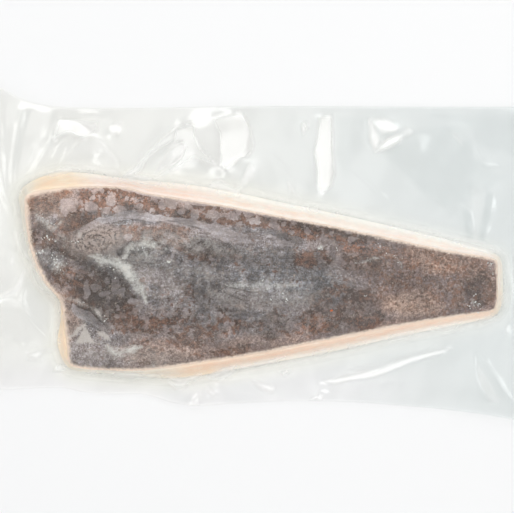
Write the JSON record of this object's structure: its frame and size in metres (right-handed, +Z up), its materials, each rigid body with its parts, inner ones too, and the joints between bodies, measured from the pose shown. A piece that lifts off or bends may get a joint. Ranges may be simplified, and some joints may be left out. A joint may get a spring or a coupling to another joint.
{
  "type": "vacuum-packed frozen halibut fillet",
  "caption": "Long tapering skin-on fish fillet, frozen stiff and lying skin side up, sealed in a clear vacuum pouch with a wrinkled empty margin all round.",
  "frame": {"origin": "on the surface that the pack lies on, under the middle of the pouch's bounding box", "axes": "+X along the fillet from the head end to the tail, +Y from the belly edge to the back edge, +Z up, out of the skin side"},
  "size_m": [0.53, 0.305, 0.026],
  "materials": {
    "clear_film": "glossy",
    "fish_flesh": "satin",
    "fish_skin": "satin",
    "frost": "matte"
  },
  "bodies": {
    "root": {"vacuum_pack": "clear_film"}
  },
  "joints": []
}
